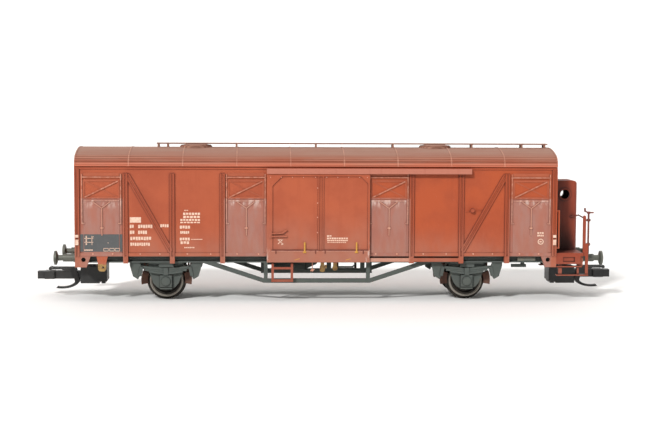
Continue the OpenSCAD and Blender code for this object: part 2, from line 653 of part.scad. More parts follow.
// Draw bar with a flat tongue round the pin, a wider head and a narrow nose.
module coupler_bar(s) color(black) at_coupler(s) difference() {
    reach = s < 0 ? coupler_l_left : coupler_l_right;
    union() {
        translate([swing_u, 0, 4.1]) cylinder(h = 1.6, d = 2.2, $fn = 36);
        block([swing_u, -0.8, 4.1], [0.2, 0.8, 5.7]);
        block([0, -0.9, 3.95], [reach - 3.6, 0.9, 5.72]);
        block([reach - 3.8, -1.5, 3.95], [reach - 1.6, 1.5, 5.72]);
        block([reach - 1.8, -1, 3.98], [reach, 1, 5.66]);
    }
    translate([swing_u, 0, 4]) cylinder(h = 2, d = 1 + 2 * fit_gap, $fn = 36);
    translate([loop_u, 2, loop_z]) rotate([90, 0, 0]) cylinder(h = 4, d = 0.6 + 2 * fit_gap, $fn = 24);
}

module coupler_bar_left() coupler_bar(-1);
module coupler_bar_right() coupler_bar(1);

// Uncoupling loop: pin through the bar, two arms, a round cross bar and a curved tail below.
module coupler_loop(s) color(black) at_coupler(s) {
    arm = [1, 1.35];                        // inner and outer face of an arm
    bar_u = 6.7;                            // place of the cross bar
    bar_up = 6.3;
    translate([loop_u, arm[1], loop_z]) rotate([90, 0, 0]) cylinder(h = 2 * arm[1], d = 0.6, $fn = 24);
    for (m = [0, 1]) mirror([0, m, 0]) side_plate(arm[0], arm[1]) {
        polygon([[loop_u - 0.6, loop_z - 0.3], [loop_u - 0.1, 6.5], [bar_u, 6.5], [bar_u, 6.1],
                 [loop_u + 3, 6.1], [loop_u + 2.6, 5.85], [loop_u + 1, 5.85], [loop_u + 0.6, loop_z - 0.3]]);
        polygon([[loop_u - 0.6, loop_z + 0.3], [loop_u + 0.5, loop_z + 0.3], [1.2, 3.2], [0.2, 3.2]]);
    }
    translate([bar_u, arm[1], bar_up]) rotate([90, 0, 0]) cylinder(h = 2 * arm[1], d = 0.75, $fn = 24);
    block([0.2, -arm[1], 3.2], [1.2, arm[1], 3.75]);
    rotate([90, 0, 0]) translate([0, 0, -0.5]) linear_extrude(1) tail();
}

// Tail of the loop, between two arcs that sweep down and forwards and turn up at the tip.
module tail() {
    c = [4.2, 3.7];
    function arc(a, b) = [for (t = [180 : 10 : 290]) c + [a * cos(t), b * sin(t)]];
    inner = arc(3, 1.6);
    polygon(concat(arc(4, 2.05), [for (i = [len(inner) - 1 : -1 : 0]) inner[i]]));
}

module coupler_loop_left() coupler_loop(-1);
module coupler_loop_right() coupler_loop(1);

// ---- wheels -------------------------------------------------------------------------------

// One wheel, turned: hub, dished web, rim with a coned tread and a flange on the inner side.
module wheel() {
    r = tread_d / 2;
    rotate_extrude($fn = 96) polygon([
        [0.75, -0.1], [1.35, -0.1], [1.35, 0.35], [2.75, 0.55], [2.95, 0], [flange_d / 2 - 0.35, 0],
        [flange_d / 2, 0.25], [flange_d / 2, 0.42], [r + 0.1, 0.75], [r, 1], [r - 0.05, wheel_w - 0.1],
        [r - 0.15, wheel_w], [3.48, wheel_w], [3.42, wheel_w - 0.3], [3.3, wheel_w - 0.3],
        [3.22, wheel_w - 0.1], [2.85, wheel_w - 0.15], [2.7, 1.35], [1.35, 1.2], [1.35, wheel_w],
        [0.75, wheel_w]]);
}

module wheels(s) color(steel) at_axle(s) translate([0, 0, axle_z]) for (m = [0, 1]) mirror([0, m, 0])
    translate([0, back_to_back / 2, 0]) rotate([-90, 0, 0]) wheel();
module wheels_left() wheels(-1);
module wheels_right() wheels(1);

module axle(s) color(black) at_axle(s) translate([0, 0, axle_z]) for (m = [0, 1]) mirror([0, m, 0])
    rotate([-90, 0, 0]) {
        cylinder(h = 7.5, d = 1.5);
        cylinder(h = box_y - 0.75, d = journal_d, $fn = 36);
        cylinder(h = back_to_back / 2 - 0.3, d = 1.9);
    }
module axle_left() axle(-1);
module axle_right() axle(1);

// ---- platform -----------------------------------------------------------------------------

module platform_deck() color(brown) on_platform() {
    sill_l = platform_l - 0.6;
    block([0, -wall_y, deck_z - 0.7], [platform_l, wall_y, deck_z]);
    // side sills with a raised frame round a plain panel
    both_y() {
        block([0, wall_y - 0.6, step_z], [sill_l, wall_y - 0.2, deck_z - 0.7 + eps]);
        side_plate(wall_y - 0.2 - eps, wall_y) difference() {
            translate([0, step_z]) square([sill_l, deck_z - step_z - 0.7 + eps]);
            translate([1.55, 8.8]) square([2.65, 1.1]);
        }
    }
}

// Two boards on hangers from the side sill.
module platform_steps() color(brown) on_platform() both_y() {
    block([0.1, wall_y - 1.4, 7.65], [platform_l - 0.3, wall_y + 0.1, 7.9]);
    block([0.15, wall_y - 1.6, 5.75], [platform_l + 1.1, wall_y + 0.1, 6]);
    for (x = [[0.55, 1.35], [4.7, 5.15]]) block([x[0], wall_y - 0.6, 5.9], [x[1], wall_y - 0.2, step_z]);
}

// Flat posts beside the headstock, in two lengths, and a rail from each to the booth.
module platform_posts() color(brown) on_platform() translate([platform_l, 0, 0]) both_y() {
    y = [wall_y - 0.6, wall_y - 0.2];
    top = 18.8;
    block([0, y[0], deck_z - 0.7], [0.5, y[1], deck_z + 0.2]);
    block([-0.15, y[0], deck_z], [0.5, y[1], top]);
    translate([0.175, y[1], top]) rotate([90, 0, 0]) cylinder(h = 0.4, d = 0.65);
    block([0.43, y[0], 6], [1.09, y[1], 12.9]);
    wire([[0.18, wall_y - 0.4, 18.5], [0.1, booth_w / 2 + 0.9, 18.75], [-1.6, booth_w / 2 + 0.15, 18.3]], 0.3);
}

module brake_spindle() color("#5c3530") on_platform() translate([platform_l, -wall_y + 1.1, 0]) {
    u = 1.23;
    top = 19.6;
    translate([u, 0, 11.2]) cylinder(h = top - 11.2, d = 0.42, $fn = 24);
    for (z = [12.4, 17.8]) {
        translate([u, 0, z]) cylinder(h = 0.5, d = 0.9, $fn = 24);
        block([0.1, -0.2, z + 0.1], [u, 0.2, z + 0.4]);
        block([0.1, -0.5, z + 0.1], [0.45, 0.2, z + 0.4]);
    }
    // crank with an upright grip
    translate([u, 0, top - 0.1]) cylinder(h = 0.45, d = 0.8, $fn = 24);
    rod([u - 0.85, 0, top + 0.45], [u, 0, top + 0.1], 0.32);
    rod([u, 0, top + 0.12], [u + 1.1, 0, top + 0.12], 0.32);
    translate([u - 0.85, 0, top + 0.35]) cylinder(h = 0.8, d = 0.4, $fn = 24);
}

// Booth of thin sheet on the deck: rounded towards the outside, with round windows.
module booth_shell(inset) {
    r = 1.1 - inset;
    x1 = platform_l - inset;
    w = booth_w / 2 - inset;
    h = booth_z1 - inset;
    z0 = deck_z - (inset > 0 ? 1 : 0);
    intersection() {
        translate([0, 0, z0]) linear_extrude(h - z0) {
            translate([-inset, -w]) square([x1 - r + inset, 2 * w]);
            translate([-inset, -w + r]) square([x1 + inset, 2 * (w - r)]);
            for (y = [-1, 1]) translate([x1 - r, y * (w - r)]) circle(r = r);
        }
        translate([0, w, 0]) rotate([90, 0, 0]) linear_extrude(2 * w) {
            translate([-inset - eps, z0]) square([x1 - r + inset + eps, h - z0]);
            translate([-inset - eps, z0]) square([x1 + inset + eps, h - r - z0]);
            translate([x1 - r, h - r]) circle(r = r);
        }
    }
}

module brakeman_booth() color(brown) on_platform() difference() {
    window = [3.2, 23.4];
    union() {
        booth_shell(0);
        // rims of the windows
        translate([window[0], booth_w / 2 + 0.15, window[1]]) rotate([90, 0, 0])
            cylinder(h = booth_w + 0.3, d = 2.8);
    }
    booth_shell(0.5);
    translate([window[0], booth_w, window[1]]) rotate([90, 0, 0]) cylinder(h = 2 * booth_w, d = 2.1);
}

// Upright rails for the hand at the platform end.
module grab_rails() color(brown) on_platform() both_y() {
    y = wall_y - 0.5;
    wire([[0, y, 20.1], [0.6, y, 20.1], [0.6, y, 11.9], [0, y, 11.9]], 0.38);
}

module lamp_brackets() color(pale) on_both() for (s = [-1, 1]) mirror([s > 0 ? 0 : 1, 0, 0])
    side_plate(wall_y + post_proud, wall_y + post_proud + 0.2) {
        translate([body_l / 2 - 0.85, 14.25]) square([0.7, 0.6]);
        translate([body_l / 2 - 0.85, 12.6]) square([0.7, 1.2]);
    }

side_wall_near();
side_wall_far();
end_wall_left();
end_wall_right();
roof();
roof_walkway();
roof_hatches();
floor();
ballast_plate();
hatches_near();
hatches_far();
hatch_levers_near();
hatch_levers_far();
door_rails_near();
door_rails_far();
sliding_door_near();
sliding_door_far();
door_lock_near();
door_lock_far();
door_handles_near();
door_handles_far();
vent_valves();
solebars();
center_sills();
cross_members();
headstocks();
corner_brackets();
towing_brackets();
axle_guards_left();
axle_guards_right();
leaf_springs_left();
leaf_springs_right();
brake_shoes_left();
brake_shoes_right();
truss_near();
truss_far();
door_steps();
brake_rigging();
brake_valves();
buffers_left();
buffers_right();
coupler_pocket_left();
coupler_pocket_right();
coupler_bar_left();
coupler_bar_right();
coupler_loop_left();
coupler_loop_right();
wheels_left();
axle_left();
wheels_right();
axle_right();
platform_deck();
platform_steps();
platform_posts();
brake_spindle();
brakeman_booth();
grab_rails();
lamp_brackets();
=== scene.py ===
"""Looks of a model railway covered goods wagon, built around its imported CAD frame."""

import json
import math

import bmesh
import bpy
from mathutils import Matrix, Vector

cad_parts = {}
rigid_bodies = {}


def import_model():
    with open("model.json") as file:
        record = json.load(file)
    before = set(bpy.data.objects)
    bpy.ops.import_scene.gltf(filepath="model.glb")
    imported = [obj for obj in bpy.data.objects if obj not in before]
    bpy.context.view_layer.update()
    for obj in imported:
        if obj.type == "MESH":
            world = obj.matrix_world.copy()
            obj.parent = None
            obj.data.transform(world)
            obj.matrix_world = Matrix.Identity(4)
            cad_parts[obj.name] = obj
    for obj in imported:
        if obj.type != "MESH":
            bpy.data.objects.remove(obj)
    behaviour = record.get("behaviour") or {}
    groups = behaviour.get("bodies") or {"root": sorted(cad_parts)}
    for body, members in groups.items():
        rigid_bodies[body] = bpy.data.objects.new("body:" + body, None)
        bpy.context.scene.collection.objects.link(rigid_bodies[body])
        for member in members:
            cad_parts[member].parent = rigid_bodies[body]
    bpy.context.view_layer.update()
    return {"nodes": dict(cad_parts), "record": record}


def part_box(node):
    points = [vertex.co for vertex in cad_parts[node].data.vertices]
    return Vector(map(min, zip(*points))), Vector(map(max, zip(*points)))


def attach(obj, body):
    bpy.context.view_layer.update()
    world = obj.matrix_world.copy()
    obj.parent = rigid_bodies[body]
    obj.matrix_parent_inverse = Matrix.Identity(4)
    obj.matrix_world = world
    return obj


bl_info = {
    "name": "Covered goods wagon looks",
    "version": (1, 0, 0),
    "blender": (4, 5, 0),
    "location": "View3D > Sidebar > Wagon",
    "description": "Finishes, printed marks and small fittings of a model of a two-axle covered wagon",
    "category": "Object",
}

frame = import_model()

NODES = frame["nodes"]
MM = 0.001

# ---- places, taken from the CAD nodes -----------------------------------------------------
# Faces of the sides are half widths: distances from the upright plane along the wagon's middle.

WALL_LOW, WALL_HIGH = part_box("side_wall_near")
BODY_X = (WALL_LOW.x + WALL_HIGH.x) / 2             # middle of the body
SHEET_LENGTH = (WALL_HIGH.x - WALL_LOW.x) / 9       # nine roof sheets along the body
POST_PROUD = 0.3 * MM                               # how far the posts stand out of the side sheets
WALL_Y = -WALL_LOW.y - POST_PROUD                   # outer face of the side sheets
HATCH_FACE = WALL_Y + 0.1 * MM                      # sliding plates of the hatches
SILL_FACE = WALL_Y + 0.12 * MM                      # strip along the foot of a side
LEVER_FACE = WALL_Y + 0.28 * MM                     # forked levers of the hatches
DOOR_FACE = -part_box("sliding_door_near")[0].y       # frame of a door
SHEET_Y = DOOR_FACE - 0.2 * MM                      # sheets of a door, behind its frame
SOLEBAR_Y = -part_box("solebars")[0].y                # outer face of a solebar's flanges
SOLEBAR_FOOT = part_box("solebars")[0].z
EAVE_Z, CROWN_Z = (corner.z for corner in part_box("roof"))
HATCH_X = (15.7 * MM, 47.2 * MM)                    # middles of the hatch bays, on both sides of BODY_X
AXLE_LOW, AXLE_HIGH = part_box("axle_right")
AXLE_X = (AXLE_LOW.x + AXLE_HIGH.x) / 2 - BODY_X    # the axles lie this far on both sides of BODY_X
AXLE_Z = (AXLE_LOW.z + AXLE_HIGH.z) / 2

# Half a turn about the upright axis through the body's middle, which takes the near side to the far one.
HALF_TURN = Matrix(((-1, 0, 0, 2 * BODY_X), (0, -1, 0, 0), (0, 0, 1, 0), (0, 0, 0, 1)))


# ---- shader helpers -----------------------------------------------------------------------

def linear(code):
    """Linear RGBA of an sRGB hex colour such as "#c4603e"."""
    parts = [int(code[i:i + 2], 16) / 255 for i in (1, 3, 5)]
    return tuple(c / 12.92 if c <= 0.04045 else ((c + 0.055) / 1.055) ** 2.4 for c in parts) + (1.0,)


def shade(key):
    """RGBA of a colour among the paint settings."""
    return tuple(getattr(bpy.context.scene.wagon_paint, key)) + (1.0,)


def add(tree, kind, inputs=None, out=0, **settings):
    """Adds a shader node with its settings and links, and returns one of its outputs.

    An input that is given another node's output is linked to it; any other input is set.
    """
    made = tree.nodes.new("ShaderNode" + kind)
    for key, value in settings.items():
        setattr(made, key, value)
    for key, value in (inputs or {}).items():
        if isinstance(value, bpy.types.NodeSocket):
            tree.links.new(value, made.inputs[key])
        else:
            made.inputs[key].default_value = value
    return made.outputs[out]


def new_material(name):
    """An empty node material and its tree."""
    material = bpy.data.materials.new(name)
    material.use_nodes = True
    material.node_tree.nodes.clear()
    return material, material.node_tree


def span(value, start, end, least=0.0, most=1.0):
    """Inputs of a step that goes from least to most while a value goes from start to end."""
    return {"Value": value, "From Min": start, "From Max": end, "To Min": least, "To Max": most}


SOFT = {"interpolation_type": "SMOOTHSTEP"}


def cloudy(tree, grain, detail=3.0, stretch=(1, 1, 1)):
    """A cloudy pattern with a grain in millimetres, drawn out along an axis by a stretch above 1."""
    point = add(tree, "TexCoord", out="Object")
    drawn = add(tree, "Mapping", {"Vector": point, "Scale": tuple(1 / s for s in stretch)})
    return add(tree, "TexNoise", {
        "Vector": drawn, "Scale": 1 / (grain * MM), "Detail": detail, "Roughness": 0.55})


def patches(tree, grain, start, end, least=0.0, most=1.0, detail=4.0, stretch=(1, 1, 1)):
    """Soft-edged patches of a cloudy pattern: least where it is below start, most where it is above end."""
    return add(tree, "MapRange", span(cloudy(tree, grain, detail, stretch), start, end, least, most), **SOFT)


def fades(tree, way, start, end, least=0.0, most=1.0):
    """A mask that goes from least to most between two places along a way.

    The ways are along the wagon, away from the body's middle, beside the middle plane, and up.
    """
    point = add(tree, "TexCoord", out="Object")
    place = add(tree, "SeparateXYZ", {0: point}, {"along": 0, "away": 0, "beside": 1, "up": 2}[way])
    if way == "away":
        place = add(tree, "Math", {0: place, 1: BODY_X}, operation="SUBTRACT")
    if way in ("away", "beside"):
        place = add(tree, "Math", {0: place}, operation="ABSOLUTE")
    return add(tree, "MapRange", span(place, start, end, least, most), **SOFT)


def coats(tree, colour, *layers):
    """Lays coats over a colour. Each coat is its colour, then the masks and shares that thin it."""
    for top, cover, *masks in layers:
        for mask in masks:
            cover = add(tree, "Math", {0: cover, 1: mask}, operation="MULTIPLY")
        colour = add(tree, "Mix", {0: cover, 6: colour, 7: top}, 2, data_type="RGBA")
    return colour


def rising_dust(tree, low, high, most):
    """Masks of dust that thickens downwards between two heights in millimetres, in upright clouds of 3 mm."""
    clouds = patches(tree, 3.2, 0.3, 0.65, 0.45, 1.0, 3.0, (1, 1, 2.2))
    return fades(tree, "up", high * MM, low * MM, 0.0, most), clouds


def rain_streaks(tree, most):
    """Faint upright streaks, 0.8 mm wide."""
    return patches(tree, 0.8, 0.52, 0.74, 0.0, most, 3.0, (1, 1, 18))


def corners(tree, most, wide=0.5, whole=False):
    """Painted shade in corners and along the feet of ribs, from ambient occlusion within a reach of wide
    millimetres.

    It looks at the piece's own shape, or with whole also at what is fixed round it.
    """
    open_sky = add(tree, "AmbientOcclusion", {"Distance": wide * MM}, "AO", samples=12, only_local=not whole)
    return add(tree, "MapRange", span(open_sky, 0.97, 0.5, 0.0, most), **SOFT)


def surface(tree, colour, rough, relief, depth, strength, metallic=0.0, level=0.4):
    """The surface of a finish, with a fine relief whose depth is in millimetres."""
    normal = add(tree, "Bump", {"Height": relief, "Distance": depth * MM, "Strength": strength})
    shader = add(tree, "BsdfPrincipled", {
        "Base Color": colour, "Metallic": metallic, "Specular IOR Level": level, "Roughness": rough,
        "Normal": normal})
    out = tree.nodes.new("ShaderNodeOutputMaterial")
    tree.links.new(shader, out.inputs[0])


def spray_grain(tree):
    """Grain of sprayed paint: some hundredths of a millimetre, coarsened to 0.13 mm so that it shows."""
    return cloudy(tree, 0.13, 2.0)


# ---- materials ----------------------------------------------------------------------------

def satin_paint(name, base, warm, dust, violet=0.0, shadow_reach=0.0):
    """Moulded polystyrene, sprayed with satin brown-red paint and thinly weathered by hand.

    To the eye: soft clouds between two close shades, faint rain streaks, dust that rises from the
    foot, and a soft sheen. Towards +X the paint is a little warmer. The faces of the posts are darkened
    with painted shade, and the rail covers, which stand out furthest, keep pale dust. Violet is the
    strength of a violet-grey wash in the hatch bays, where the raised levers get a painted highlight.
    Corners and the feet of ribs get painted shade. The shadow reach is how far a painted shadow spreads
    out of sheltered corners, in millimetres; on the platform it is the body's shadow on the booth.
    """
    material, tree = new_material(name)
    proud = fades(tree, "beside", WALL_Y + 0.12 * MM, WALL_Y + 0.24 * MM)
    warmer = fades(tree, "along", BODY_X - 20 * MM, BODY_X + 30 * MM)
    sprayed = coats(tree, shade(base), (shade(warm), warmer))
    colour = coats(
        tree, sprayed,
        (shade("deep"), patches(tree, 9.0, 0.38, 0.64, 0.0, 0.45)),
        # painted shade on the faces of the posts
        (shade("deep"), proud, 0.5),
        (shade("settled"), fades(tree, "beside", WALL_Y + 0.7 * MM, WALL_Y + 1.0 * MM, 0.0, 0.9)),
        (shade("deep"), rain_streaks(tree, 0.18)),
        (shade("dust"), *rising_dust(tree, *dust)))
    for x in HATCH_X if violet else ():
        bay = (fades(tree, "away", x - 5.0 * MM, x - 4.2 * MM),
               fades(tree, "away", x + 5.0 * MM, x + 4.2 * MM),
               fades(tree, "up", 23.2 * MM, 22.4 * MM))
        washed = patches(tree, 1.6, 0.3, 0.68, 0.45, 1.0, 4.0, (1, 1, 3.5))
        colour = coats(
            tree, colour,
            (shade("wash"), *bay, washed, violet),
            # painted highlight on the raised levers in the bays
            (shade("painted_highlight"), *bay, proud, 0.5))
    colour = coats(
        tree, colour,
        (shade("dust"), patches(tree, 0.3, 0.66, 0.76, 0.0, 0.16, 2.0)),
        # painted shade in corners and along the feet of ribs
        (shade("corner_shade"), corners(tree, 0.85)))
    # painted shadow spreading out of sheltered corners
    if shadow_reach:
        colour = coats(tree, colour, (shade("painted_shadow"), corners(tree, 0.95, shadow_reach, True)))
    surface(tree, colour, patches(tree, 9.0, 0.3, 0.7, 0.46, 0.62), spray_grain(tree), 0.02, 0.3)
    return material


def door_paint(name):
    """Moulded polystyrene, sprayed satin like the body, on the sliding doors.

    To the eye: the lower band keeps more dust than the sheets above it, and the lower corners show
    whitish wear in fine upright scratches.
    """
    material, tree = new_material(name)
    colour = coats(
        tree, shade("door"),
        (shade("deep"), patches(tree, 8.0, 0.38, 0.64, 0.0, 0.4)),
        (shade("deep"), rain_streaks(tree, 0.16)),
        (shade("dust"), *rising_dust(tree, 9.5, 22.0, 0.6)),
        (shade("dust"), fades(tree, "up", 11.7 * MM, 11.2 * MM, 0.0, 0.4)),
        (shade("worn"), fades(tree, "away", 10.1 * MM, 11.1 * MM), fades(tree, "up", 14.0 * MM, 10.5 * MM),
         patches(tree, 0.35, 0.5, 0.66, 0.0, 0.75, 3.0, (1, 1, 5))),
        # painted shade in corners and along the feet of ribs
        (shade("corner_shade"), corners(tree, 0.85)))
    surface(tree, colour, patches(tree, 8.0, 0.3, 0.7, 0.44, 0.6), spray_grain(tree), 0.02, 0.3)
    return material


def hatch_paint(name):
    """Satin paint on the hatch plates under a violet-grey wash, duller than the body.

    To the eye: the wash lies on the sliding plates only, and the upper panels stay red. White
    brushwork catches the corners below the panels, as streaks that fade downwards. The raised bars and
    rails get a painted highlight, and the corners, also those against the fixed pieces round it, get
    painted shade.
    """
    material, tree = new_material(name)
    plates = fades(tree, "up", 23.0 * MM, 22.6 * MM)
    colour = coats(
        tree, shade("hatch"),
        (shade("deep"), patches(tree, 5.0, 0.38, 0.64, 0.0, 0.4)),
        (shade("wash"), plates, patches(tree, 1.5, 0.3, 0.7, 0.5, 0.85, 3.0, (1, 1, 3.5))),
        (shade("dust"), *rising_dust(tree, 10.5, 16.0, 0.35)),
        (shade("worn"), fades(tree, "up", 20.2 * MM, 22.5 * MM), plates,
         patches(tree, 0.6, 0.46, 0.66, 0.0, 0.75, 4.0, (1.5, 1, 4))),
        # painted shade in corners, also against the fixed pieces round it
        (shade("corner_shade"), corners(tree, 0.6, 0.35, True)),
        # painted highlight on the raised bars and rails
        (shade("painted_highlight"), fades(tree, "beside", WALL_Y + 0.15 * MM, WALL_Y + 0.22 * MM),
         patches(tree, 0.8, 0.35, 0.65, 0.1, 0.5, 2.0)))
    surface(tree, colour, patches(tree, 5.0, 0.3, 0.7, 0.5, 0.66), spray_grain(tree), 0.02, 0.3)
    return material


def roof_paint(name):
    """Moulded roof, sprayed matt, growing paler and greyer towards the crown.

    To the eye: fine lines run along it, a little over half a millimetre apart, dark in the joints and
    with a painted highlight beside them, and the nine sheets meet in cross seams drawn as a pale
    painted highlight. The roof along the eaves is a paler painted highlight, and corners get painted
    shade. The lines are drawn on the angle round a line 8 mm below the eaves, one for each 2 pi / 125
    radians.
    """
    material, tree = new_material(name)
    point = add(tree, "TexCoord", out="Object")
    height = add(tree, "SeparateXYZ", {0: point}, 2)
    above = add(tree, "Math", {0: height, 1: EAVE_Z - 8.0 * MM}, operation="SUBTRACT")
    angle = add(tree, "Math", {0: add(tree, "SeparateXYZ", {0: point}, 1), 1: above}, operation="ARCTAN2")
    lines = add(tree, "Math", {0: angle, 1: 125.0}, operation="MULTIPLY")
    wave = add(tree, "Math", {0: lines}, operation="SINE")
    broken = patches(tree, 3.0, 0.3, 0.7, 0.4, 1.0, 2.0, (8, 1, 1))
    joints = add(tree, "Math", {0: add(tree, "MapRange", span(wave, 0.2, 0.95), **SOFT), 1: broken},
                 operation="MULTIPLY")
    ridges = add(tree, "MapRange", span(wave, -0.3, -0.95), **SOFT)

    along = add(tree, "SeparateXYZ", {0: point}, 0)
    from_middle = add(tree, "Math", {0: along, 1: BODY_X}, operation="SUBTRACT")
    sheets = add(tree, "Math", {0: from_middle, 1: SHEET_LENGTH}, operation="DIVIDE")
    along_sheet = add(tree, "Math", {0: sheets}, operation="FRACT")
    from_seam = add(tree, "Math", {0: along_sheet, 1: 0.5}, operation="SUBTRACT")
    off_seam = add(tree, "Math", {0: from_seam}, operation="ABSOLUTE")
    seam = add(tree, "MapRange", span(off_seam, 0.02, 0.008, 0.0, 0.38), **SOFT)

    paler_to_crown = fades(tree, "up", EAVE_Z + 0.6 * MM, CROWN_Z - 0.3 * MM, 0.0, 0.85)
    mottle = patches(tree, 2.4, 0.3, 0.7, -0.12, 0.12, 4.0, (5, 1, 1))
    crown = add(tree, "Math", {0: paler_to_crown, 1: mottle}, operation="ADD", use_clamp=True)
    colour = coats(
        # ground: a pale painted highlight along the eaves, covered by the roof colour from 1 mm above them
        tree, shade("lip"),
        (shade("roof"), fades(tree, "up", EAVE_Z, EAVE_Z + 1.0 * MM)),
        # paler and greyer towards the crown
        (shade("roof_dust"), crown),
        (shade("line"), joints, 0.5),
        # painted highlight beside the joints
        (shade("painted_highlight"), ridges, broken, 0.3),
        # seams drawn as a pale painted highlight
        (shade("painted_highlight"), seam, broken),
        (shade("roof_dust"), patches(tree, 0.6, 0.52, 0.72, 0.0, 0.3, 3.0, (14, 1, 1))),
        # painted shade in corners and along the feet of ribs
        (shade("corner_shade"), corners(tree, 0.5)))
    surface(tree, colour, 0.68, joints, 0.03, 0.35, level=0.3)
    return material


def plain(name, base, other, rough, metallic=0.0, grain=1.2, amount=0.5, level=0.4, dust=None, corner_shade=None):
    """Ground of the plainer finishes: two close colours in clouds of a grain in millimetres.

    Dust from below is its colour, lowest and highest height and strength. The corner shade is the
    colour of painted shade in the corners. The skin's own grain is finer than can show, and drawn at 0.14 mm.
    """
    material, tree = new_material(name)
    colour = coats(tree, base, (other, patches(tree, grain, 0.4, 0.7, 0.0, amount)))
    if dust:
        colour = coats(tree, colour, (dust[0], *rising_dust(tree, *dust[1:])))
    if corner_shade:
        # painted shade in the corners
        colour = coats(tree, colour, (corner_shade, corners(tree, 0.75)))
    surface(tree, colour, patches(tree, grain, 0.3, 0.7, rough, rough + 0.12), cloudy(tree, 0.14, 2.0),
            0.015, 0.25, metallic, level)
    return material


def etched_brass(name):
    """Etched brass, dulled by handling: bare at the foot, brushed with body colour above.

    To the eye: a yellow metal with brown tarnish in spots of half a millimetre. The paint ends in a
    ragged line just below the foot of the side sheets.
    """
    material, tree = new_material(name)
    cloud = cloudy(tree, 0.6, 4.0)
    ragged = add(tree, "Math", {0: cloud, 1: 1.2 * MM}, operation="MULTIPLY")
    height = add(tree, "SeparateXYZ", {0: add(tree, "TexCoord", out="Object")}, 2)
    edge = add(tree, "Math", {0: height, 1: ragged}, operation="ADD")
    painted = add(tree, "MapRange", span(edge, 8.7 * MM, 9.2 * MM), **SOFT)
    bare = coats(tree, shade("brass"), (linear("#8a6a4c"), patches(tree, 0.6, 0.4, 0.7)))
    paint = coats(tree, shade("body"), (shade("dust"), patches(tree, 0.6, 0.35, 0.7, 0.0, 0.4)))
    rough = add(tree, "MapRange", span(painted, 0.0, 1.0, 0.4, 0.55), **SOFT)
    metallic = add(tree, "MapRange", span(painted, 0.0, 1.0, 0.6, 0.0), **SOFT)
    surface(tree, coats(tree, bare, (paint, painted)), rough, cloud, 0.01, 0.2, metallic)
    return material


def turned_steel(name):
    """Turned wheels: bright ring and tread, browned disc, flange darkened as painted shade, and fine turning
    marks.

    To the eye: a clean ring that catches the light in a dull wheel. The ring is told from the disc by
    its distance from the axle. The marks are rings round the axle, coarsened from some hundredths of
    a millimetre to a fifth so that they can be seen.
    """
    material, tree = new_material(name)
    point = add(tree, "TexCoord", out="Object")
    height = add(tree, "Math", {0: add(tree, "SeparateXYZ", {0: point}, 2), 1: AXLE_Z}, operation="SUBTRACT")
    along = add(tree, "SeparateXYZ", {0: point}, 0)
    from_middle = add(tree, "Math", {0: along, 1: BODY_X}, operation="SUBTRACT")
    away = add(tree, "Math", {0: from_middle}, operation="ABSOLUTE")
    shift = add(tree, "Math", {0: away, 1: AXLE_X}, operation="SUBTRACT")
    squares = [add(tree, "Math", {0: side, 1: side}, operation="MULTIPLY") for side in (height, shift)]
    together = add(tree, "Math", {0: squares[0], 1: squares[1]}, operation="ADD")
    reach = add(tree, "Math", {0: together}, operation="SQRT")
    # outside the ring the flange takes the dark disc colour as painted shade
    rim = [add(tree, "MapRange", span(reach, edge * MM, inner * MM), **SOFT)
           for edge, inner in ((3.25, 3.35), (3.85, 3.72))]
    turns = add(tree, "Math", {0: reach, 1: 2 * math.pi / (0.2 * MM)}, operation="MULTIPLY")
    disc = coats(tree, shade("disc"), (linear("#2c2926"), patches(tree, 1.1, 0.35, 0.7)))
    bright = coats(tree, shade("rim"), (linear("#7d7467"), patches(tree, 1.1, 0.4, 0.75, 0.0, 0.5)))
    surface(tree, coats(tree, disc, (bright, *rim)), patches(tree, 1.1, 0.3, 0.7, 0.34, 0.5),
            add(tree, "Math", {0: turns}, operation="SINE"), 0.01, 0.3, 0.75)
    return material


